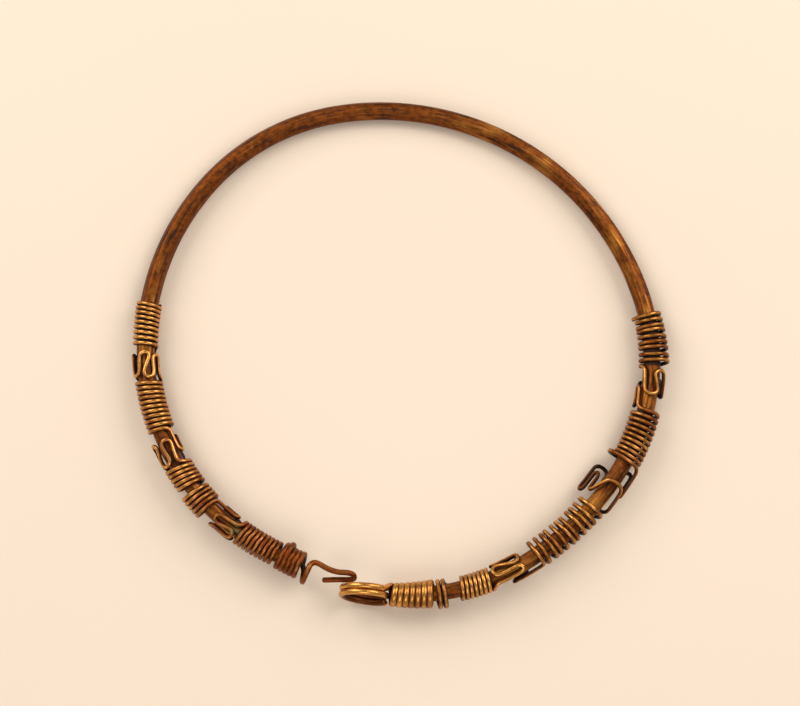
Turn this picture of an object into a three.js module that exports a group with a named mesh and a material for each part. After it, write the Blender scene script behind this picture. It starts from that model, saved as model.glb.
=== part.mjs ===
// Bronze torc: a round rod bent to a hoop, with a thin wire wound along each front end.
// Each wire runs in tight coils and in meanders of hairpins. One wire ends as the hook, the other
// as a double eye. Millimetres, +Z up, the opening in front at -Y.
import * as THREE from 'three';

// Bends of the rod's axis, from the middle of the eye round the back to the hook end.
const bends = [
  { length: 43.5, radius: 60.1 },
  { length: 39.4, radius: 75.1 },
  { length: 43.7, radius: 54.1 },
  { length: 103.5, radius: 72.4 },
  { length: 40.0, radius: 57.7 },
  { length: 56.2, radius: 66.0 },
  { length: 66.0, radius: 61.1 },
];
const axisStart = { x: -9.8, y: -62.8, heading: -11, station: -10.65 };

// The rod is thickest round the back and thins under the windings. Stations run along its axis.
const rod = { from: -2.4, to: 384.2, sides: 12, steps: 76 };
const rodRadii = [
  { at: -2.4, radius: 1.45 },
  { at: 9, radius: 2.15 },
  { at: 60, radius: 2.3 },
  { at: 116, radius: 2.5 },
  { at: 290, radius: 2.5 },
  { at: 330, radius: 2.3 },
  { at: 384.2, radius: 2.05 },
];

// The windings, each listed from its free end towards the front. A coil has a count of turns, a
// meander a list of its bends: station of the bend, angle going in, angle coming out. Turn angles are
// in degrees: 0 outward, 90 up, 180 to the neck. lift is the slack between rod and wire, lean tips the
// turns, stand holds one side further off, spread opens the pitch along a coil.
const hookWinding = {
  way: 1,
  start: 200,
  rows: [
    { coil: 10, from: 296.4, to: 308.2, lift: 0.1, wire: 0.98, lean: 0.1, spread: 1.35 },
    {
      bends: [
        [316.4, 232, 285], [309.7, 278, 318], [316.4, 308, 336], [310.2, 325, 372],
        [316.1, 368, 420], [309.9, 426, 472], [316.8, 440, 490], [310.6, 488, 530],
      ],
      last: 528, lift: 0.3, wire: 1.05,
    },
    {
      coil: 11, from: 317.3, to: 331.2, lift: 0.12, wire: 1.08, lean: 0.4,
      stand: { turn: 180, from: 0.5, to: 0.5 },
    },
    {
      bends: [
        [338.4, 138, 190], [333.6, 186, 228], [340.8, 222, 268], [334.0, 262, 308],
        [340.8, 302, 338], [334.3, 336, 400], [340.7, 374, 432], [334.2, 426, 474],
      ],
      last: 460, lifts: [0.4, 0.4, 0.4, 0.4, 0.5, 0.8, 0.6, 0.4, 0.4], wire: 1.08,
    },
    { coil: 6, from: 341.4, to: 348.2, lift: 0.7, wire: 1.08, lean: 0.9, end: 270 },
    {
      coil: 5, from: 349.6, to: 355.3, lift: 0.65, wire: 1.08, lean: 0.1,
      stand: { turn: 0, from: 0.6, to: 0.6 },
    },
    {
      bends: [
        [363.2, 146, 188], [358.3, 186, 226], [364.7, 222, 266], [358.3, 262, 304],
        [364.7, 300, 338], [358.4, 334, 392], [364.7, 386, 436], [358.3, 415, 458],
      ],
      last: 470, lift: 0.45, wire: 1.08,
    },
    {
      coil: 10, from: 365.4, to: 377.0, lift: 0.15, wire: 1.12, lean: 0.2, end: 270,
      stand: { turn: 180, from: 0.4, to: 0.4 },
    },
    {
      coil: 5, from: 378.0, to: 384.0, lift: 0.2, wire: 1.38, lean: 0.2, end: 300,
      stand: { turn: 0, from: 0, to: 0.6 }, bulge: { turn: 180, share: 0.3, over: 0.25, by: 0.9 },
    },
  ],
};
const eyeWinding = {
  way: -1,
  start: 178,
  rows: [
    {
      coil: 10, from: 111.3, to: 97.5, lift: 0.1, wire: 1.05, lean: -0.7, uneven: 0.18,
      spread: 1.4, end: 126, stand: { turn: 0, from: 0.3, to: 1.3 }, flick: { turns: 0.12, by: 0.9 },
    },
    {
      bends: [
        [89.9, 118, 56], [96.4, 78, 14], [90.0, 10, -40], [95.0, -38, -74],
        [88.5, -70, -110], [93.6, -106, -150], [86.2, -152, -192], [92.0, -182, -213],
      ],
      last: -222, lift: 0.4, wire: 1.05,
    },
    {
      coil: 11, from: 85.6, to: 71.0, lift: 0.5, wire: 1.08, lean: 0, spread: 0.8,
      stand: { turn: 0, from: 0.2, to: 0.5 }, bulge: { turn: 180, share: 0.95, over: 0.06, by: 1.5 },
    },
    // Splayed meander: hairpins sprung off towards the neck, then one wide bend over the top.
    {
      bends: [
        [62.6, 10, -16], [69.3, -16, -75], [62.0, -75, -120], [67.0, -120, -160],
        [57.7, -163, -174], [64.8, -172, -184], [59.3, -182, -215], [64.7, -246, -336],
      ],
      last: -350, lifts: [1.4, 1.0, 0.6, 1.0, 3.4, 2.2, 0.9, 0.6, 1.1], wire: 1.08,
    },
    {
      coil: 12, from: 57.0, to: 36.6, lift: 0.6, wire: 1.08, lean: -1.0, uneven: 0.25,
      stand: { turn: 180, from: 0.5, to: 0.5 },
    },
    {
      bends: [
        [28.6, 4, -38], [33.0, -36, -80], [24.5, -78, -120], [32.3, -118, -160],
        [24.5, -158, -197], [32.3, -195, -250], [24.3, -218, -270], [32.2, -268, -305],
      ],
      last: -306, lift: 0.4, wire: 1.08,
    },
    { coil: 8, from: 23.6, to: 15.0, lift: 0.2, wire: 1.05, lean: 0.3, end: 270 },
    {
      coil: 2, from: 11.3, to: 8.7, lift: 0.4, wire: 1.12, lean: -0.6, end: 270,
      stand: { turn: 0, from: 0.7, to: 0.7 },
    },
    { coil: 8, from: 7.8, to: -3.4, lift: 0.12, wire: 1.52, lean: 0.1, end: 180 },
  ],
};

// Way of the hook past the end of its coil: station along the rod, then out and up from its axis.
const hookWire = 1.48;
const hookRoute = [
  [384.9, 1.2, -3.4],
  [385.4, 3.9, -1.4],
  [385.7, 3.8, 1.6],
  [386.4, 1.4, 3.4],
  [386.7, -0.7, 3.1],
  [387.9, -1.4, 2.5],
  [391.2, -0.6, 1.9],
  [393.6, -0.35, 1.5],
  [396.2, -0.55, 1.1],
  [397.7, -0.3, 0.7],
  [398.1, 0.45, 0.0],
  [397.4, 0.9, -0.7],
  [393.4, 1.5, -1.1],
  [390.1, 2.3, -1.2],
];

// The eye: two turns side by side, upright beyond the end of the rod and tipped to the neck.
const eye = {
  x: -9.3, y: -63.9, heading: -6.5, tip: 4.5,
  wire: 1.65, halfLength: 5.9, halfHeight: 5.4, inner: -1.9, outer: 1.07,
  firstTurn: 30, lastTurn: 705, steps: 30,
};

// Facets of the wires, and the tilt and roll at which the torc lies on a table.
const turnSteps = 8;
const bendSteps = 3;
const wireSides = 4;
const restTilt = 1.67;
const restRoll = 0.22;

const bronze = { rod: 0x7a4a22, hookWire: 0x8a5a2c, eyeWire: 0xa06d35 };

const radians = THREE.MathUtils.degToRad;

// Point and outward direction of the rod's axis at a station along it.
function axisAt(station) {
  let { x, y } = axisStart;
  let heading = radians(axisStart.heading);
  let left = station - axisStart.station;
  for (let i = 0; i < bends.length; i += 1) {
    const { length, radius } = bends[i];
    const run = i < bends.length - 1 ? Math.min(left, length) : left;
    const next = heading + run / radius;
    x += radius * (Math.sin(next) - Math.sin(heading));
    y -= radius * (Math.cos(next) - Math.cos(heading));
    heading = next;
    left -= run;
    if (left <= 0) break;
  }
  return { x, y, outX: Math.sin(heading), outY: -Math.cos(heading) };
}

function placeOnAxis(station, out, up) {
  const axis = axisAt(station);
  return new THREE.Vector3(axis.x + out * axis.outX, axis.y + out * axis.outY, up);
}

function rodRadiusAt(station) {
  const after = rodRadii.findIndex((entry) => entry.at >= station);
  if (after === 0) return rodRadii[0].radius;
  if (after < 0) return rodRadii[rodRadii.length - 1].radius;
  const low = rodRadii[after - 1];
  const high = rodRadii[after];
  return THREE.MathUtils.mapLinear(station, low.at, high.at, low.radius, high.radius);
}

// Turn from one angle on to another, going one way round.
function turnOn(fromAngle, toAngle, way) {
  return THREE.MathUtils.euclideanModulo((toAngle - fromAngle) * way, 360);
}

// Turns grow by this much, so that the chords between their points stay clear of the rod.
const chordGrow = 1 / Math.cos(Math.PI / turnSteps);

function windPoint(station, angle, lift, wire) {
  const reach = (rodRadiusAt(station) + wire / 2 + lift) * chordGrow;
  const turn = radians(angle);
  return { point: placeOnAxis(station, reach * Math.cos(turn), reach * Math.sin(turn)), wire, station };
}

// How strongly an angle faces a given side, from 0 to 1.
function facing(angle, side) {
  return Math.max(0, Math.cos(radians(angle - side)));
}

function coilPoints(row, fromAngle, turned, way) {
  const count = Math.round((turned / 360) * turnSteps);
  const spread = ((row.spread ?? 1) - 1) / ((row.spread ?? 1) + 1);
  const points = [];
  for (let i = 0; i <= count; i += 1) {
    const share = i / count;
    const turns = (turned * share) / 360;
    const angle = fromAngle + way * turned * share;
    const along = share + spread * share * (share - 1);
    const tip = -0.5 * row.lean * Math.cos(radians(angle));
    const sway = (row.uneven ?? 0) * Math.sin(2.3 * turns);
    let lift = row.lift;
    if (row.stand) {
      lift += THREE.MathUtils.lerp(row.stand.from, row.stand.to, share) * facing(angle, row.stand.turn);
    }
    if (row.bulge) {
      const near = Math.max(0, 1 - ((share - row.bulge.share) / row.bulge.over) ** 2);
      lift += row.bulge.by * near * facing(angle, row.bulge.turn);
    }
    if (row.flick) lift += row.flick.by * Math.max(0, 1 - turns / row.flick.turns);
    const station = THREE.MathUtils.lerp(row.from, row.to, along) + tip + sway;
    points.push(windPoint(station, angle, lift, row.wire));
  }
  return points;
}

// A meander bend by bend, counted on from the turn the coil before it ended in. The slack passes from
// one limb to the next round each bend.
function meanderPoints(row, fromAngle, way) {
  const whole = 360 * Math.round((fromAngle - row.bends[0][1]) / 360);
  const slackOf = (limb) => (row.lifts ? row.lifts[limb] : row.lift);
  const points = [];
  row.bends.forEach(([end, turnIn, turnOut], index) => {
    const half = (turnOut - turnIn) / 2;
    const depth = THREE.MathUtils.clamp(radians(Math.abs(half)) * 3.3, 0.7, 1.3);
    const inward = (index % 2 === 0) === way > 0 ? -1 : 1;
    for (let k = 0; k <= bendSteps; k += 1) {
      const swing = Math.PI * (k / bendSteps - 0.5);
      const lift = THREE.MathUtils.lerp(slackOf(index), slackOf(index + 1), k / bendSteps);
      const station = end + inward * depth * (1 - Math.cos(swing));
      points.push(windPoint(station, whole + turnIn + half * (1 + Math.sin(swing)), lift, row.wire));
    }
  });
  return { points, angle: whole + row.last };
}

// All points of a winding. Where a coil meets a meander its corner is cut, as the wire bends there.
function windingPoints(winding) {
  const { way, rows } = winding;
  let angle = winding.start;
  const points = [];
  rows.forEach((row, index) => {
    const before = rows[index - 1];
    const next = rows[index + 1];
    if (row.bends) {
      const meander = meanderPoints(row, angle, way);
      points.push(...meander.points);
      angle = meander.angle;
      return;
    }
    if (before?.coil) angle += way * 45;
    const turned = 360 * (row.coil - 1) + turnOn(angle, row.end ?? next.bends[0][1], way);
    const turns = coilPoints(row, angle, turned, way);
    points.push(...turns.slice(before?.bends ? 1 : 0, next?.bends ? -1 : undefined));
    angle += way * turned;
  });
  return points;
}

function hookPoints() {
  return hookRoute.map(([station, out, up]) => ({ point: placeOnAxis(station, out, up), wire: hookWire }));
}

function eyePoints() {
  const heading = radians(eye.heading);
  const points = [];
  for (let i = 0; i <= eye.steps; i += 1) {
    const share = i / eye.steps;
    const turn = radians(THREE.MathUtils.lerp(eye.firstTurn, eye.lastTurn, share));
    const along = eye.halfLength * Math.cos(turn);
    const up = eye.halfHeight * Math.sin(turn);
    const out = THREE.MathUtils.lerp(eye.inner, eye.outer, share) - up * Math.tan(radians(eye.tip));
    const x = eye.x + along * Math.cos(heading) + out * Math.sin(heading);
    const y = eye.y + along * Math.sin(heading) - out * Math.cos(heading);
    points.push({ point: new THREE.Vector3(x, y, up), wire: eye.wire });
  }
  return points;
}

// A closed tube through the points. Its frame faces away from the rod along the winding and is
// carried on without twist past it.
function sweep(points, sides, fullness) {
  const positions = [];
  const faces = [];
  const carried = new THREE.Vector3(0, 0, 1);
  points.forEach((entry, index) => {
    const before = points[Math.max(index - 1, 0)].point;
    const after = points[Math.min(index + 1, points.length - 1)].point;
    const along = after.clone().sub(before).normalize();
    const away = carried.clone();
    if (entry.station !== undefined) away.copy(entry.point).sub(placeOnAxis(entry.station, 0, 0));
    away.addScaledVector(along, -away.dot(along)).normalize();
    carried.copy(away);
    const side = along.clone().cross(away);
    for (let i = 0; i < sides; i += 1) {
      const turn = (2 * Math.PI * (i + 0.5)) / sides;
      const corner = entry.point.clone();
      corner.addScaledVector(away, Math.cos(turn) * entry.wire * 0.5 * fullness);
      corner.addScaledVector(side, Math.sin(turn) * entry.wire * 0.5 * fullness);
      positions.push(corner.x, corner.y, corner.z);
    }
  });
  const rows = points.length;
  for (let row = 0; row < rows - 1; row += 1) {
    for (let i = 0; i < sides; i += 1) {
      const a = row * sides + i;
      const b = row * sides + ((i + 1) % sides);
      faces.push(a, b, b + sides, a, b + sides, a + sides);
    }
  }
  for (let i = 1; i < sides - 1; i += 1) {
    faces.push(0, i + 1, i);
    const last = (rows - 1) * sides;
    faces.push(last, last + i, last + i + 1);
  }
  const geometry = new THREE.BufferGeometry();
  geometry.setAttribute('position', new THREE.Float32BufferAttribute(positions, 3));
  geometry.setIndex(faces);
  geometry.computeVertexNormals();
  return geometry;
}

// The rod has a flat along its underside, so it lies on a face and not on an edge.
function rodGeometry() {
  const points = [];
  for (let i = 0; i <= rod.steps; i += 1) {
    const station = THREE.MathUtils.lerp(rod.from, rod.to, i / rod.steps);
    points.push({ point: placeOnAxis(station, 0, 0), wire: 2 * rodRadiusAt(station) });
  }
  return sweep(points, rod.sides, 1);
}

function piece(name, geometry, color, roughness) {
  const material = new THREE.MeshStandardMaterial({ color, roughness, metalness: 0.9 });
  material.name = `${name} bronze`;
  const mesh = new THREE.Mesh(geometry, material);
  mesh.name = name;
  return mesh;
}

// A square wire of the same section area as a round one is this much fuller across its corners.
const squareFullness = Math.sqrt(Math.PI / 2);

const torc = new THREE.Group();
torc.name = 'bronze torc';
const lying = new THREE.Group();
lying.add(
  piece('hoop_rod', rodGeometry(), bronze.rod, 0.5),
  piece('hook_wire', sweep([...windingPoints(hookWinding), ...hookPoints()], wireSides, squareFullness),
    bronze.hookWire, 0.42),
  piece('eye_wire', sweep([...windingPoints(eyeWinding), ...eyePoints()], wireSides, squareFullness),
    bronze.eyeWire, 0.4),
);
lying.rotation.set(radians(-restTilt), radians(restRoll), 0);
torc.add(lying);
lying.updateMatrixWorld(true);
const box = new THREE.Box3().setFromObject(torc, true);
lying.position.set(-(box.min.x + box.max.x) / 2, -(box.min.y + box.max.y) / 2, -box.min.z);
torc.updateMatrixWorld(true);

export default torc;
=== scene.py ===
from math import ceil, cos, hypot, pi, radians, sin, tan

import bpy
import numpy as np
from mathutils import Matrix, Vector


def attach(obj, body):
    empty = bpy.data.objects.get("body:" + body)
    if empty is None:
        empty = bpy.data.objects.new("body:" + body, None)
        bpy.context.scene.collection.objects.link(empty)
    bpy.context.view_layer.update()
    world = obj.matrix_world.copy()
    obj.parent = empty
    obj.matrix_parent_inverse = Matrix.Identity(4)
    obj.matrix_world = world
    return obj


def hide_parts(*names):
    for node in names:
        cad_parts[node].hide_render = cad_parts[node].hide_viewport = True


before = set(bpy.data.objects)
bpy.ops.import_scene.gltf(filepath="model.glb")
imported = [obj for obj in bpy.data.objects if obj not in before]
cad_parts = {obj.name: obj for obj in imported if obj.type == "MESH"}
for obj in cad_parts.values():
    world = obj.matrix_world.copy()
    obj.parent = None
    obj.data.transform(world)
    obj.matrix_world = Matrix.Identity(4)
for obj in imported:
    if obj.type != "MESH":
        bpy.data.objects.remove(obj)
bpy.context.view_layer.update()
mm = 0.001  # sizes below are in millimetres, meshes are in metres
print("frame loaded:", sorted(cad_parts))

# the ring lies on its back, on the eye and on one coil, so it is tipped a little
resting = {"tilt": 1.67, "roll": 0.22, "place": (-0.194, -0.171, 4.371)}
tilted, rolled = radians(-resting["tilt"]), radians(resting["roll"])
restTurn = Matrix.Rotation(tilted, 4, "X") @ Matrix.Rotation(rolled, 4, "Y")
restPose = Matrix.Translation(resting["place"]) @ restTurn


def linearColour(hexText):
    parts = [int(hexText[i:i + 2], 16) / 255 for i in (1, 3, 5)]
    return [p / 12.92 if p <= 0.04045 else ((p + 0.055) / 1.055) ** 2.4 for p in parts] + [1.0]


# adds one node: inputs are sockets to link or plain values, the rest are the node's own settings
def addNode(tree, kind, inputs=None, **settings):
    node = tree.nodes.new(kind)
    for name, value in settings.items():
        setattr(node, name, value)
    for key, value in (inputs or {}).items():
        if isinstance(value, bpy.types.NodeSocket):
            tree.links.new(value, node.inputs[key])
        else:
            node.inputs[key].default_value = value
    return node


# rod: bends are (length, radius) along its axis, from the eye round the back to the hook
hoop = {
    "bends": [(43.5, 60.1), (39.4, 75.1), (43.7, 54.1), (103.5, 72.4), (40.0, 57.7), (56.2, 66.0),
              (66.0, 61.1)],
    "startX": -9.8, "startY": -62.8, "startHeading": -11.0, "startStation": -10.65,
    "from": -2.4, "to": 382.6, "step": 0.6, "sides": 48,
    "radii": [(-2.4, 1.45), (9, 2.15), (60, 2.3), (116, 2.5), (290, 2.5), (330, 2.3), (384.2, 2.05)],
    "dentDepth": 0.05, "dentSize": 4.5, "facets": 6, "facetDepth": 0.055,
    "tones": [(112, 0.64), (122, 0.56), (185, 0.58), (200, 0.4), (280, 0.45), (298, 0.64)],
    # under close coils the rod gets a dark tone: painted shade with settled dirt
    "grimeAndShadeTone": -0.4, "closePitch": 1.5,  # tone under close coils, and the pitch that counts as close
    # where a hammered ridge runs, and how it creeps round per millimetre
    "ridgeAt": 74.0, "ridgeTwist": 0.18,
}


def axisAt(station):
    x, y, heading = hoop["startX"], hoop["startY"], radians(hoop["startHeading"])
    left = station - hoop["startStation"]
    for i, (length, radius) in enumerate(hoop["bends"]):
        run = min(left, length) if i < len(hoop["bends"]) - 1 else left
        turned = heading + run / radius
        x += radius * (sin(turned) - sin(heading))
        y -= radius * (cos(turned) - cos(heading))
        heading, left = turned, left - run
        if left <= 0:
            break
    return x, y, sin(heading), -cos(heading)  # the point, and the way out from the neck


def placeOnAxis(station, out, up):
    x, y, outX, outY = axisAt(station)
    return x + out * outX, y + out * outY, up


def rodRadiusAt(station):
    stations, radii = zip(*hoop["radii"])
    return float(np.interp(station, stations, radii))


# hook wire, wound round the left front: coils and rows of hairpins, then the hook
# turns are in degrees: 0 outward, 90 up, 180 to the neck; lift is slack off the rod
# stand is (side, slack at start, slack at end), bulge is (side, where, over, by); a bend is (station,
# turn in, turn out)
hookWire = {
    "way": 1, "start": 200, "sides": 16, "step": 0.32, "dentDepth": 0.035, "dentSize": 1.3, "wear": 0.12,
    "rows": [
        {"coil": 10, "from": 296.4, "to": 308.2, "lift": 0.1, "wire": 0.98, "lean": 0.1, "spread": 1.35,
         "tone": 0.7},
        {"bends": [(316.4, 232, 285), (309.7, 278, 318), (316.4, 308, 336), (310.2, 325, 372),
                   (316.1, 368, 420),
                   (309.9, 426, 472), (316.8, 440, 490), (310.6, 488, 530)],
         "last": 528, "lift": 0.3, "wire": 1.05, "tone": 0.8},
        {"coil": 11, "from": 317.3, "to": 331.2, "lift": 0.12, "wire": 1.08, "lean": 0.4,
         "stand": (180, 0.5, 0.5),
         "tone": 0.62},
        {"bends": [(338.4, 138, 190), (333.6, 186, 228), (340.8, 222, 268), (334.0, 262, 308),
                   (340.8, 302, 338),
                   (334.3, 336, 400), (340.7, 374, 432), (334.2, 426, 474)],
         "last": 460, "lifts": [0.4, 0.4, 0.4, 0.4, 0.5, 0.8, 0.6, 0.4, 0.4], "wire": 1.08, "tone": 0.72},
        {"coil": 6, "from": 341.4, "to": 348.2, "lift": 0.7, "wire": 1.08, "lean": 0.9, "end": 270,
         "tone": 0.62},
        {"coil": 5, "from": 349.6, "to": 355.3, "lift": 0.65, "wire": 1.08, "lean": 0.1,
         "stand": (0, 0.6, 0.6),
         "tone": 0.58},
        {"bends": [(363.2, 146, 188), (358.3, 186, 226), (364.7, 222, 266), (358.3, 262, 304),
                   (364.7, 300, 338),
                   (358.4, 334, 392), (364.7, 386, 436), (358.3, 415, 458)],
         "last": 470, "lift": 0.45, "wire": 1.08, "tone": 0.5},
        {"coil": 10, "from": 365.4, "to": 377.0, "lift": 0.15, "wire": 1.12, "lean": 0.2, "end": 270,
         "stand": (180, 0.4, 0.4), "tone": 0.4},
        {"coil": 5, "from": 378.0, "to": 384.0, "lift": 0.2, "wire": 1.4, "lean": 0.2, "end": 262,
         "stand": (0, 0.0, 0.6), "bulge": (180, 0.3, 0.25, 1.3), "tone": 0.36},
    ],
    "hookThickness": 1.48, "hookTone": 0.35, "hookShade": 0.3,
    # hook route: station, out from the axis, up
    "hook": [(384.9, 1.2, -3.4), (385.4, 3.9, -1.4), (385.7, 3.8, 1.6), (386.1, 1.4, 3.4),
             (386.5, -0.7, 3.1),
             (387.9, -1.4, 2.5), (391.2, -0.6, 1.9), (393.6, -0.35, 1.5), (396.2, -0.55, 1.1),
             (397.7, -0.3, 0.7),
             (398.1, 0.45, 0.0), (397.4, 0.9, -0.7), (393.4, 1.5, -1.1), (390.1, 2.3, -1.2)],
}

# eye wire, wound round the right front the other way, then the double eye
eyeWire = {
    "way": -1, "start": 178, "sides": 16, "step": 0.32, "dentDepth": 0.035, "dentSize": 1.3, "wear": 0.12,
    "rows": [
        {"coil": 10, "from": 111.3, "to": 97.5, "lift": 0.1, "wire": 1.05, "lean": -0.7, "spread": 1.4,
         "uneven": 0.18, "stand": (0, 0.3, 1.3), "flick": (0.12, 0.9), "tone": 0.42},
        {"bends": [(89.9, 118, 56), (96.4, 78, 14), (90.0, 10, -40), (95.0, -38, -74), (88.5, -70, -110),
                   (93.6, -106, -150), (86.2, -152, -192), (92.0, -182, -213)],
         "first": 126, "last": -222, "lift": 0.4, "wire": 1.05, "tone": 0.5},
        {"coil": 11, "from": 85.6, "to": 71.0, "lift": 0.5, "wire": 1.08, "lean": 0.0, "spread": 0.8,
         "stand": (0, 0.2, 0.5), "bulge": (180, 0.95, 0.06, 1.5), "tone": 0.4},
        # this row of hairpins has sprung: some stand off towards the neck, one bends wide over the top
        {"bends": [(62.6, 10, -16), (69.3, -16, -75), (62.0, -75, -120), (67.0, -120, -160),
                   (57.7, -163, -174),
                   (64.8, -172, -184), (59.3, -182, -215), (64.7, -246, -336)],
         "last": -350, "lifts": [1.4, 1.0, 0.6, 1.0, 3.4, 2.2, 0.9, 0.6, 1.1], "wire": 1.08,
         "tone": 0.42},
        {"coil": 12, "from": 57.0, "to": 36.6, "lift": 0.6, "wire": 1.08, "lean": -1.0, "uneven": 0.25,
         "stand": (180, 0.5, 0.5), "tone": 0.5},
        {"bends": [(28.6, 4, -38), (33.0, -36, -80), (24.5, -78, -120), (32.3, -118, -160),
                   (24.5, -158, -197),
                   (32.3, -195, -250), (24.3, -218, -270), (32.2, -268, -305)],
         "last": -306, "lift": 0.4, "wire": 1.08, "tone": 0.55},
        {"coil": 8, "from": 23.6, "to": 15.0, "lift": 0.2, "wire": 1.05, "lean": 0.3, "end": 270,
         "tone": 0.6},
        {"coil": 2, "from": 11.3, "to": 8.7, "lift": 0.4, "wire": 1.12, "lean": -0.6, "end": 270,
         "stand": (0, 0.7, 0.7), "tone": 0.45},
        {"coil": 8, "from": 7.6, "to": -3.3, "lift": 0.05, "wire": 1.82, "lean": 0.1, "end": 180,
         "tone": 0.55},
    ],
    # the eye: two near-round turns standing on edge, tipped a little
    "eyeX": -9.3, "eyeY": -63.9, "heading": -6.5, "tip": 4.5, "eyeThickness": 1.65, "halfLength": 5.9,
    "halfHeight": 5.4, "inner": -1.9, "outer": 1.07, "firstTurn": 30, "lastTurn": 705, "eyeSteps": 160,
    "eyeTone": 0.75, "eyeShade": 0.35,
}
turnSteps = 36  # points in one turn of a coil
bendSteps = 12  # points round one hairpin
corner = 20.0  # degrees of turn given up to the bend between a coil and a straight limb
limbGap = 0.9  # how far along the limb that bend reaches


def turnOn(fromAngle, toAngle, way):
    return ((toAngle - fromAngle) * way) % 360


# a coil as rows of (station, turn, slack, wire, tone)
def coilTurns(row, fromAngle, turned, way):
    count = round(turned / 360 * turnSteps)
    spread = (row.get("spread", 1) - 1) / (row.get("spread", 1) + 1)
    turns = []
    for i in range(count + 1):
        share = i / count
        angle = fromAngle + way * turned * share
        along = share + spread * share * (share - 1)
        tip = -0.5 * row["lean"] * cos(radians(angle))
        sway = row.get("uneven", 0) * sin(2.3 * turned * share / 360)
        slack = row["lift"]
        if "stand" in row:
            side, low, high = row["stand"]
            slack += (low + (high - low) * share) * max(0.0, cos(radians(angle - side)))
        if "bulge" in row:
            side, where, over, by = row["bulge"]
            slack += by * max(0.0, 1 - ((share - where) / over) ** 2) * max(0.0,
                                                                            cos(radians(angle - side)))
        if "flick" in row:
            over, by = row["flick"]
            slack += by * max(0.0, 1 - turned * share / 360 / over)
        station = row["from"] + (row["to"] - row["from"]) * along + tip + sway
        turns.append((station, angle, slack, row["wire"], row["tone"]))
    return turns


# a row of hairpins, bend by bend, with the slack eased from limb to limb
def hairpinTurns(row, fromAngle, way):
    first = row["bends"][0][1]
    whole = 360 * round((fromAngle - first) / 360)
    lifts = row.get("lifts", [row.get("lift")] * (len(row["bends"]) + 1))
    turns = []
    for i, (end, turnIn, turnOut) in enumerate(row["bends"]):
        half = (turnOut - turnIn) / 2
        depth = min(1.3, max(0.7, radians(abs(half)) * 3.3))
        inward = -1 if (i % 2 == 0) == (way > 0) else 1
        for k in range(bendSteps + 1):
            swing = pi * (k / bendSteps - 0.5)
            station = end + inward * depth * (1 - cos(swing))
            slack = lifts[i] + (lifts[i + 1] - lifts[i]) * k / bendSteps
            turns.append((station, whole + turnIn + half * (1 + sin(swing)), slack, row["wire"],
                          row["tone"]))
    return turns, whole + row["last"], lifts


# the whole winding in its own terms, with the bends between coils and limbs left to be rounded
def windingTurns(winding):
    way, rows, angle = winding["way"], winding["rows"], winding["start"]
    cut = round(corner / 360 * turnSteps)
    turns = []
    for i, row in enumerate(rows):
        before = rows[i - 1] if i else {}
        after = rows[i + 1] if i + 1 < len(rows) else {}
        if "bends" in row:
            hairpins, lastAngle, lifts = hairpinTurns(row, angle, way)
            turns.append((before["to"] + way * limbGap, angle, lifts[0], row["wire"], row["tone"]))
            turns += hairpins
            turns.append((after["from"] - way * limbGap, lastAngle, lifts[-1], row["wire"], row["tone"]))
            angle = lastAngle
            continue
        if "coil" in before:
            angle += way * 45
        end = row["end"] if "end" in row else after.get("first", after["bends"][0][1])
        turned = 360 * (row["coil"] - 1) + turnOn(angle, end, way)
        coil = coilTurns(row, angle, turned, way)
        turns += coil[cut if "bends" in before else 0:len(coil) - (cut if "bends" in after else 0)]
        angle += way * turned
    return np.array(turns)


# evenly spaced rows along a line, measured over the columns that are lengths
def evenRows(rows, lengths, step):
    gaps = np.linalg.norm(np.diff(lengths, axis=0), axis=1)
    along = np.concatenate([[0.0], np.cumsum(gaps)])
    wanted = np.linspace(0, along[-1], max(2, ceil(along[-1] / step)))
    return np.column_stack([np.interp(wanted, along, column) for column in rows.T])


def rounded(rows, passes):
    rows = rows.copy()
    for _ in range(passes):
        rows[1:-1] = (rows[:-2] + 2 * rows[1:-1] + rows[2:]) / 4
    return rows


# winding turned into places in space: x, y, z, wire, tone, and the way that faces off the rod
def windingRoute(winding):
    turns = windingTurns(winding)
    fine = 0.1
    flat = np.column_stack([turns[:, 0], np.radians(turns[:, 1]) * 3.0])
    turns = rounded(evenRows(turns, flat, fine), 36)
    route = []
    for station, angle, slack, wire, tone in turns:
        reach = rodRadiusAt(station) + wire / 2 + slack
        x, y, outX, outY = axisAt(station)
        out, up = cos(radians(angle)), sin(radians(angle))
        route.append((x + reach * out * outX, y + reach * out * outY, reach * up, wire, tone, out * outX,
                      out * outY, up))
    return np.array(route)


# smooth line through a few points
def splineThrough(points, perSpan):
    points = np.array(points)
    ends = np.vstack([2 * points[0] - points[1], points, 2 * points[-1] - points[-2]])
    line = []
    for a, b, c, d in zip(ends, ends[1:], ends[2:], ends[3:]):
        for t in np.arange(perSpan) / perSpan:
            line.append(0.5 * (2 * b + (c - a) * t + (2 * a - 5 * b + 4 * c - d) * t ** 2 + (3 * b - a - 3 * c + d) * t ** 3))
    return np.array(line + [points[-1]])


def hookRoute():
    route = []
    for station, out, up in splineThrough(hookWire["hook"], 10):
        x, y, outX, outY = axisAt(station)
        shade = hookWire["hookShade"] / max(0.5, hypot(out, up))
        route.append((x + out * outX, y + out * outY, up, hookWire["hookThickness"], hookWire["hookTone"],
                      shade * out * outX, shade * out * outY, shade * up))
    return np.array(route)


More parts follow.
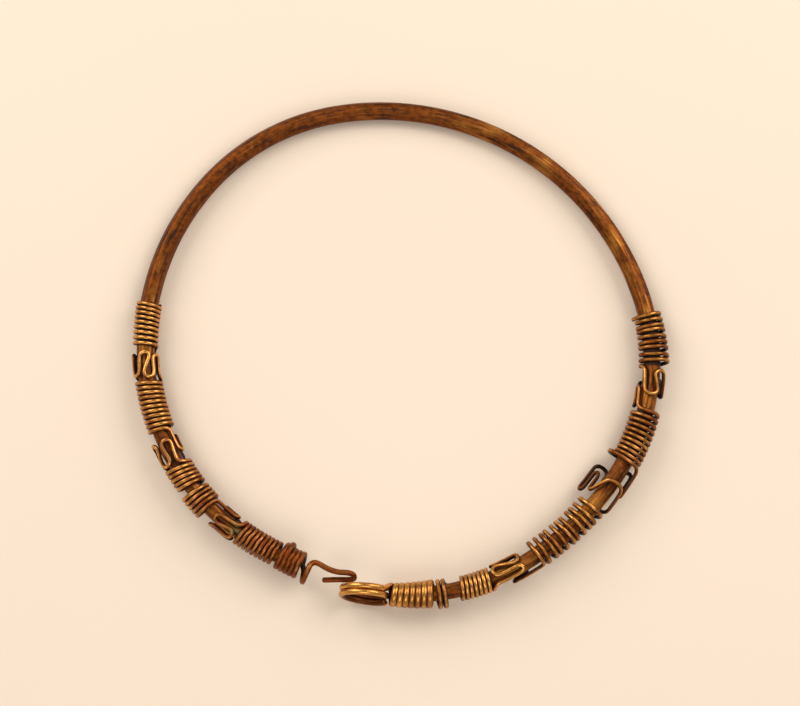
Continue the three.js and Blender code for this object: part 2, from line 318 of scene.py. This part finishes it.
def eyeRoute():
    heading, shade = radians(eyeWire["heading"]), eyeWire["eyeShade"]
    route = []
    for i in range(eyeWire["eyeSteps"] + 1):
        share = i / eyeWire["eyeSteps"]
        turn = radians(eyeWire["firstTurn"] + (eyeWire["lastTurn"] - eyeWire["firstTurn"]) * share)
        along, up = eyeWire["halfLength"] * cos(turn), eyeWire["halfHeight"] * sin(turn)
        out = eyeWire["inner"] + (eyeWire["outer"] - eyeWire["inner"]) * share - up * tan(radians(eyeWire["tip"]))
        route.append((eyeWire["eyeX"] + along * cos(heading) + out * sin(heading),
                      eyeWire["eyeY"] + along * sin(heading) - out * cos(heading), up,
                      eyeWire["eyeThickness"], eyeWire["eyeTone"],
                      shade * cos(turn) * cos(heading), shade * cos(turn) * sin(heading),
                      shade * sin(turn)))
    return np.array(route)


def wireRoute(winding, tail):
    route = np.vstack([windingRoute(winding), tail])
    route = rounded(evenRows(route, route[:, :3], 0.1), 10)
    return evenRows(route, route[:, :3], winding["step"])


# painted shade, with settled dirt, darkens the rod under the close coils
def underCoil(station):
    coils = [row for row in hookWire["rows"] + eyeWire["rows"] if "coil" in row]
    close = [row for row in coils if abs(row["to"] - row["from"]) < hoop["closePitch"] * row["coil"]]
    return any(min(row["from"], row["to"]) + 0.2 < station < max(row["from"],
                                                                 row["to"]) - 0.2 for row in close)


def rodRoute():
    count = ceil((hoop["to"] - hoop["from"]) / hoop["step"]) + 1
    route = []
    for station in np.linspace(hoop["from"], hoop["to"], count):
        x, y, outX, outY = axisAt(station)
        # the dark tone under close coils is painted shade with settled dirt
        tone = hoop["grimeAndShadeTone"] if underCoil(station) else float(np.interp(station,
                                                                            *zip(*hoop["tones"])))
        route.append((x, y, 0.0, 2 * rodRadiusAt(station), tone, outX, outY, 0.0))
    return np.array(route)


# one tree sweeps a round section along a route, then hammers, wears and marks its surface
def makeSweepTree():
    tree = bpy.data.node_groups.new("hammeredSweep", "GeometryNodeTree")
    face = tree.interface
    kinds = {"Route": "Geometry", "Sides": "Int", "Dent Depth": "Float", "Dent Size": "Float",
             "Crest Wear": "Float",
             "Facets": "Float", "Facet Depth": "Float", "Ridge At": "Float", "Ridge Twist": "Float",
             "Finish": "Material"}
    for name, kind in kinds.items():
        face.new_socket(name, in_out="INPUT", socket_type="NodeSocket" + kind)
    face.new_socket("Piece", in_out="OUTPUT", socket_type="NodeSocketGeometry")
    given = addNode(tree, "NodeGroupInput").outputs

    def named(name, kind):
        return addNode(tree, "GeometryNodeInputNamedAttribute", {"Name": name}, data_type=kind).outputs[0]

    def maths(operation, *values):
        return addNode(tree, "ShaderNodeMath", dict(enumerate(values)), operation=operation).outputs[0]

    def vectors(operation, *values, out=0):
        return addNode(tree, "ShaderNodeVectorMath", dict(enumerate(values)),
                       operation=operation).outputs[out]

    thick, away, station = named("thickness", "FLOAT"), named("away", "FLOAT_VECTOR"), named("station",
                                                                                             "FLOAT")
    curve = addNode(tree, "GeometryNodeMeshToCurve", {"Mesh": given["Route"]})
    ring = addNode(tree, "GeometryNodeCurvePrimitiveCircle",
                   {"Resolution": given["Sides"], "Radius": 1.0})
    tube = addNode(tree, "GeometryNodeCurveToMesh",
                   {"Curve": curve.outputs[0], "Profile Curve": ring.outputs[0],
                                                     "Scale": thick, "Fill Caps": True})

    # crest says how far a point faces off the rod, grain runs along the wire and round its section in
    # millimetres
    normal = addNode(tree, "GeometryNodeInputNormal").outputs[0]
    # wire clear of the rod gets less painted shade on its sides
    free = maths("MULTIPLY_ADD", vectors("LENGTH", away, out=1), -0.9, 0.9)
    crest = maths("ADD", vectors("DOT_PRODUCT", normal, away, out=1), free)
    upward = vectors("DOT_PRODUCT", normal, (0, 0, 1), out=1)
    perMm = maths("MULTIPLY", thick, 1 / mm)
    grain = addNode(tree, "ShaderNodeCombineXYZ", {0: station, 1: maths("MULTIPLY", crest, perMm),
                                                   2: maths("MULTIPLY", upward, perMm)}).outputs[0]
    marked = addNode(tree, "GeometryNodeStoreNamedAttribute",
                     {"Geometry": tube.outputs[0], "Name": "crest", "Value": crest},
                     data_type="FLOAT", domain="POINT")
    marked = addNode(tree, "GeometryNodeStoreNamedAttribute",
                     {"Geometry": marked.outputs[0], "Name": "grain",
                                                               "Value": grain}, data_type="FLOAT_VECTOR",
                                                               domain="POINT")

    # hammered dents all over, long flats with ridges between them, and a crest rubbed flatter
    place = addNode(tree, "GeometryNodeInputPosition").outputs[0]
    dents = addNode(tree, "ShaderNodeTexNoise", {"Vector": place,
                                                 "Scale": maths("DIVIDE", 1 / mm, given["Dent Size"]),
                                                 "Detail": 2.0, "Roughness": 0.45})
    dent = maths("MULTIPLY", maths("SUBTRACT", dents.outputs[0], 0.5),
                 maths("MULTIPLY", given["Dent Depth"], 2 * mm))
    ridge = maths("RADIANS", maths("MULTIPLY_ADD", station, given["Ridge Twist"], given["Ridge At"]))
    around = maths("SUBTRACT", maths("ARCTAN2", upward, crest), ridge)
    flat = maths("ABSOLUTE", maths("SINE", maths("MULTIPLY", around,
                                                 maths("MULTIPLY", given["Facets"], 0.5))))
    sunk = maths("MULTIPLY", flat, maths("MULTIPLY", given["Facet Depth"], thick))
    along = maths("SUBTRACT", dent, sunk)
    worn = addNode(tree, "ShaderNodeMapRange", {0: crest, 1: 0.35, 2: 1.0, 3: 0.0, 4: 1.0},
                   interpolation_type="SMOOTHSTEP").outputs[0]
    rubbed = maths("MULTIPLY", worn, maths("MULTIPLY", given["Crest Wear"],
                                           maths("MULTIPLY", thick, -1.0)))
    pushed = addNode(tree, "ShaderNodeVectorMath", {0: normal, "Scale": along},
                     operation="SCALE").outputs[0]
    rubbedOff = addNode(tree, "ShaderNodeVectorMath", {0: away, "Scale": rubbed},
                        operation="SCALE").outputs[0]
    shaped = addNode(tree, "GeometryNodeSetPosition", {"Geometry": marked.outputs[0],
                                                       "Offset": vectors("ADD", pushed, rubbedOff)})
    smooth = addNode(tree, "GeometryNodeSetShadeSmooth", {"Geometry": shaped.outputs[0]})
    real = addNode(tree, "GeometryNodeRealizeInstances", {"Geometry": smooth.outputs[0]})
    done = addNode(tree, "GeometryNodeSetMaterial",
                   {"Geometry": real.outputs[0], "Material": given["Finish"]})
    addNode(tree, "NodeGroupOutput", {"Piece": done.outputs[0]})
    return tree


sweepTree = makeSweepTree()


# a route becomes a line mesh with its attributes, the tree makes the piece, and the piece is kept as a
# plain mesh
def sweptPiece(name, route, sizes, finish):
    points = [restPose @ Vector(p) * mm for p in route[:, :3]]
    turn = restTurn.to_3x3()
    line = bpy.data.meshes.new(name + "Route")
    line.from_pydata(points, [(i, i + 1) for i in range(len(points) - 1)], [])
    gaps = np.linalg.norm(np.diff(route[:, :3], axis=0), axis=1)
    along = np.concatenate([[0.0], np.cumsum(gaps)])
    half = route[:, 3] / 2
    fromEnd = np.minimum(along, along[-1] - along) / half  # ends are rounded over, as if filed
    half = half * np.sqrt(np.clip(1 - 0.75 * (1 - np.clip(fromEnd / 0.7, 0, 1)) ** 2, 0, 1))
    ways = np.array([turn @ Vector(w) for w in route[:, 5:8]])
    columns = {"thickness": ("FLOAT", half * mm), "station": ("FLOAT", along),
               "tone": ("FLOAT", route[:, 4]),
               "away": ("FLOAT_VECTOR", ways)}
    for key, (kind, values) in columns.items():
        attribute = line.attributes.new(key, kind, "POINT")
        attribute.data.foreach_set("vector" if kind == "FLOAT_VECTOR" else "value", np.ravel(values))
    maker = bpy.data.objects.new(name + "Maker", line)
    bpy.context.scene.collection.objects.link(maker)
    modifier = maker.modifiers.new("sweep", "NODES")
    modifier.node_group = sweepTree
    ids = {item.name: item.identifier for item in sweepTree.interface.items_tree if item.in_out == "INPUT"}
    for key, value in {**sizes, "Finish": finish}.items():
        modifier[ids[key]] = value
    bpy.context.view_layer.update()
    ready = maker.evaluated_get(bpy.context.evaluated_depsgraph_get())
    mesh = bpy.data.meshes.new_from_object(ready)
    mesh.name = name
    maker.modifiers.remove(modifier)
    bpy.data.objects.remove(maker)
    bpy.data.meshes.remove(line)
    piece = bpy.data.objects.new(name, mesh)
    bpy.context.scene.collection.objects.link(piece)
    print(name, len(mesh.vertices), "points")
    return piece


# hammered and drawn bronze under an old brown patina: dark in the hollows, with painted shade there and on the
# wire sides facing the rod, golden where it is rubbed and where a painted highlight runs along the wire crests
bronzeLooks = {
    "hoopRod": {"name": "patinated hammered bronze rod", "grimeAndShade": "#221007", "patina": "#5c3013",
                "warm": "#824519",
                "gold": "#c08038", "rubbedFrom": 0.62, "rubbedTo": 0.9, "crestWearAndHighlightPull": 0.0, "tonePull": 0.5,
                "streak": 0.09, "dullRough": 0.46, "rubbedRough": 0.32, "pits": 0.4},
    "hookWire": {"name": "patinated drawn bronze hook wire", "grimeAndShade": "#1e0e06", "patina": "#663413",
                 "warm": "#823f1a",
                 "gold": "#d6984f", "rubbedFrom": 0.98, "rubbedTo": 1.42, "crestWearAndHighlightPull": 0.6,
                 "tonePull": 0.7,
                 "streak": 0.25, "dullRough": 0.4, "rubbedRough": 0.21, "pits": 0.45},
    "eyeWire": {"name": "patinated drawn bronze eye wire", "grimeAndShade": "#1e0f06", "patina": "#643412",
                "warm": "#7c4018",
                "gold": "#d6994d", "rubbedFrom": 0.92, "rubbedTo": 1.38, "crestWearAndHighlightPull": 0.6,
                "tonePull": 0.7,
                "streak": 0.25, "dullRough": 0.4, "rubbedRough": 0.21, "pits": 0.45},
}
verdigris = {"colour": "#5d6b3a", "station": 364.6, "out": 0.4, "up": 3.0, "reach": 2.6}


def bronzeFinish(look):
    material = bpy.data.materials.new(look["name"])
    material.use_nodes = True
    tree = material.node_tree
    tree.nodes.clear()
    place = addNode(tree, "ShaderNodeTexCoord").outputs["Object"]
    crest = addNode(tree, "ShaderNodeAttribute", attribute_name="crest").outputs["Fac"]
    tone = addNode(tree, "ShaderNodeAttribute", attribute_name="tone").outputs["Fac"]
    grain = addNode(tree, "ShaderNodeAttribute", attribute_name="grain").outputs["Vector"]

    def blend(factor, a, b):
        return addNode(tree, "ShaderNodeMix", {0: factor, 6: a, 7: b}, data_type="RGBA").outputs[2]

    def ranged(value, low, high, toLow=0.0, toHigh=1.0):
        return addNode(tree, "ShaderNodeMapRange", {0: value, 1: low, 2: high, 3: toLow, 4: toHigh},
                       interpolation_type="SMOOTHSTEP").outputs[0]

    def maths(operation, *values):
        return addNode(tree, "ShaderNodeMath", dict(enumerate(values)), operation=operation).outputs[0]

    # patches about 9 mm across, mottling about 1.4 mm, streaks 0.8 mm wide drawn out along the metal
    patches = addNode(tree, "ShaderNodeTexNoise",
                      {"Vector": place, "Scale": 1 / (9 * mm), "Detail": 3.0}).outputs[0]
    mottle = addNode(tree, "ShaderNodeTexNoise", {"Vector": place, "Scale": 1 / (1.4 * mm), "Detail": 4.0,
                                                  "Roughness": 0.6}).outputs[0]
    drawn = addNode(tree, "ShaderNodeVectorMath", {0: grain, 1: (look["streak"], 1.0, 1.0)},
                    operation="MULTIPLY")
    streaks = addNode(tree, "ShaderNodeTexNoise",
                      {"Vector": drawn.outputs[0], "Scale": 1 / 0.8, "Detail": 4.0,
                                                   "Roughness": 0.62}).outputs[0]

    # rubbed metal with a painted highlight: on the crest, more in brighter stretches, broken up by the noise
    broken = maths("ADD", maths("MULTIPLY", patches, 0.55), maths("MULTIPLY", streaks, 0.65))
    lifted = maths("MULTIPLY_ADD", maths("MAXIMUM", crest, 0.0), look["crestWearAndHighlightPull"], broken)
    lifted = maths("ADD", lifted, maths("MULTIPLY", maths("SUBTRACT", tone, 0.5), look["tonePull"]))
    rubbed = ranged(lifted, look["rubbedFrom"], look["rubbedTo"])
    # painted shade with dark patina: the wire sides facing the rod and the gaps between turns go dark; the rod
    # gets real dark streaks instead, and painted shade with settled dirt under the close coils from its tone
    grimeAndShadeMix = ranged(crest, 0.6, -0.15, 0.0, 0.92) if look["crestWearAndHighlightPull"] else ranged(streaks, 0.46, 0.34)
    grimeAndShadeMix = maths("MAXIMUM", grimeAndShadeMix, ranged(tone, 0.0, -0.3, 0.0, 0.9))
    brown = blend(ranged(mottle, 0.35, 0.65), linearColour(look["patina"]), linearColour(look["warm"]))
    colour = blend(rubbed, brown, linearColour(look["gold"]))
    colour = blend(grimeAndShadeMix, colour, linearColour(look["grimeAndShade"]))

    # a green bloom in one hollow
    spotAt = restPose @ Vector(placeOnAxis(verdigris["station"], verdigris["out"], verdigris["up"])) * mm
    far = addNode(tree, "ShaderNodeVectorMath", {0: place, 1: spotAt}, operation="DISTANCE").outputs[1]
    bloom = maths("MULTIPLY", ranged(far, verdigris["reach"] * mm, 0.4 * mm), ranged(mottle, 0.42, 0.6))
    colour = blend(maths("MULTIPLY", bloom, 0.8), colour, linearColour(verdigris["colour"]))

    rough = ranged(rubbed, 0.0, 1.0, look["dullRough"], look["rubbedRough"])
    rough = maths("ADD", rough, ranged(mottle, 0.3, 0.7, -0.06, 0.08))
    metal = ranged(maths("MAXIMUM", bloom, maths("MULTIPLY", grimeAndShadeMix, 0.5)), 0.0, 1.0, 0.95, 0.2)
    pits = addNode(tree, "ShaderNodeTexNoise", {"Vector": place, "Scale": 1 / (0.45 * mm),
                                                "Detail": 3.0}).outputs[0]
    relief = maths("ADD", maths("MULTIPLY", streaks, 0.6), maths("MULTIPLY", pits, 0.5))
    bump = addNode(tree, "ShaderNodeBump", {"Strength": look["pits"], "Distance": 0.12 * mm,
                                            "Height": relief})
    shader = addNode(tree, "ShaderNodeBsdfPrincipled",
                     {"Base Color": colour, "Metallic": metal, "Roughness": rough,
                                                        "Normal": bump.outputs[0]})
    addNode(tree, "ShaderNodeOutputMaterial", {"Surface": shader.outputs[0]})
    return material


rodSizes = {"Sides": hoop["sides"], "Dent Depth": hoop["dentDepth"], "Dent Size": hoop["dentSize"],
            "Crest Wear": 0.0,
            "Facets": float(hoop["facets"]), "Facet Depth": hoop["facetDepth"],
            "Ridge At": hoop["ridgeAt"],
            "Ridge Twist": hoop["ridgeTwist"]}


def wireSizes(winding):
    return {"Sides": winding["sides"], "Dent Depth": winding["dentDepth"],
            "Dent Size": winding["dentSize"],
            "Crest Wear": winding["wear"], "Facets": 0.0, "Facet Depth": 0.0, "Ridge At": 0.0,
            "Ridge Twist": 0.0}


hoopRod = sweptPiece("hoopRod", rodRoute(), rodSizes, bronzeFinish(bronzeLooks["hoopRod"]))
hookPiece = sweptPiece("hookWire", wireRoute(hookWire, hookRoute()), wireSizes(hookWire),
                       bronzeFinish(bronzeLooks["hookWire"]))
eyePiece = sweptPiece("eyeWire", wireRoute(eyeWire, eyeRoute()), wireSizes(eyeWire),
                      bronzeFinish(bronzeLooks["eyeWire"]))

for piece, node, slot in ((hoopRod, "hoop_rod", "rod_bronze"),
                          (hookPiece, "hook_wire", "hook_wire_bronze"),
                          (eyePiece, "eye_wire", "eye_wire_bronze")):
    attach(piece, "root")
    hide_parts(node)
print("pieces ride on the frame")

# studio: a pale floor, two soft lights from behind on either side, a weak one in front
studio = {
    "floorColour": "#ecdccb", "floorHalf": 3.0, "worldColour": "#fffaf3", "worldStrength": 0.5,
    "lights": [("backLeft", (-0.5, 0.42, 0.55), 0.6, 3.6), ("backRight", (0.5, 0.36, 0.55), 0.6, 3.6),
               ("front", (0.0, -0.7, 0.8), 0.6, 2.4)],
    "lightColour": "#fff8ee",
}


def pale(name, hexText):
    material = bpy.data.materials.new(name)  # matt painted board, very slightly uneven
    material.use_nodes = True
    tree = material.node_tree
    shader = tree.nodes["Principled BSDF"]
    place = addNode(tree, "ShaderNodeTexCoord").outputs["Object"]
    cloud = addNode(tree, "ShaderNodeTexNoise", {"Vector": place, "Scale": 1 / 0.12,
                                                 "Detail": 3.0}).outputs[0]
    tint = linearColour(hexText)
    deeper = [c * 0.96 for c in tint[:3]] + [1.0]
    mixed = addNode(tree, "ShaderNodeMix", {0: cloud, 6: deeper, 7: tint}, data_type="RGBA")
    tree.links.new(mixed.outputs[2], shader.inputs["Base Color"])
    shader.inputs["Roughness"].default_value = 0.9
    return material


half = studio["floorHalf"]
floorMesh = bpy.data.meshes.new("floor")
floorMesh.from_pydata([(-half, -half, 0), (half, -half, 0), (half, half, 0), (-half, half, 0)], [],
                      [(0, 1, 2, 3)])
floor = bpy.data.objects.new("floor", floorMesh)
floor.data.materials.append(pale("matt cream board", studio["floorColour"]))
bpy.context.scene.collection.objects.link(floor)

for name, spot, size, power in studio["lights"]:
    light = bpy.data.lights.new(name, "AREA")
    light.size, light.energy = size, power
    light.color = linearColour(studio["lightColour"])[:3]
    lamp = bpy.data.objects.new(name, light)
    lamp.location = spot
    lamp.rotation_euler = (-Vector(spot)).to_track_quat("-Z", "Y").to_euler()
    bpy.context.scene.collection.objects.link(lamp)

world = bpy.data.worlds.new("studio")
world.use_nodes = True
world.node_tree.nodes["Background"].inputs["Color"].default_value = linearColour(studio["worldColour"])
world.node_tree.nodes["Background"].inputs["Strength"].default_value = studio["worldStrength"]
bpy.context.scene.world = world
bpy.context.scene.view_settings.view_transform = "Standard"

# camera: over the middle of the ring, leaning back a little from straight above
view = {"elevation": 80.0, "distance": 704.0, "lens": 120.0, "sensor": 36.0}
lean = radians(view["elevation"])
ringCamera = Matrix(((1, 0, 0), (0, sin(lean), -cos(lean)), (0, cos(lean), sin(lean)))).to_4x4()
ringCamera.translation = Vector((0, -cos(lean), sin(lean))) * view["distance"]
seen = restPose @ ringCamera
seen.translation *= mm
camera = bpy.data.cameras.new("camera")
camera.lens, camera.sensor_width, camera.sensor_fit = view["lens"], view["sensor"], "HORIZONTAL"
camera.clip_start = 0.01
cameraObject = bpy.data.objects.new("camera", camera)
cameraObject.matrix_world = seen
bpy.context.scene.collection.objects.link(cameraObject)
bpy.context.scene.camera = cameraObject
print("studio set")
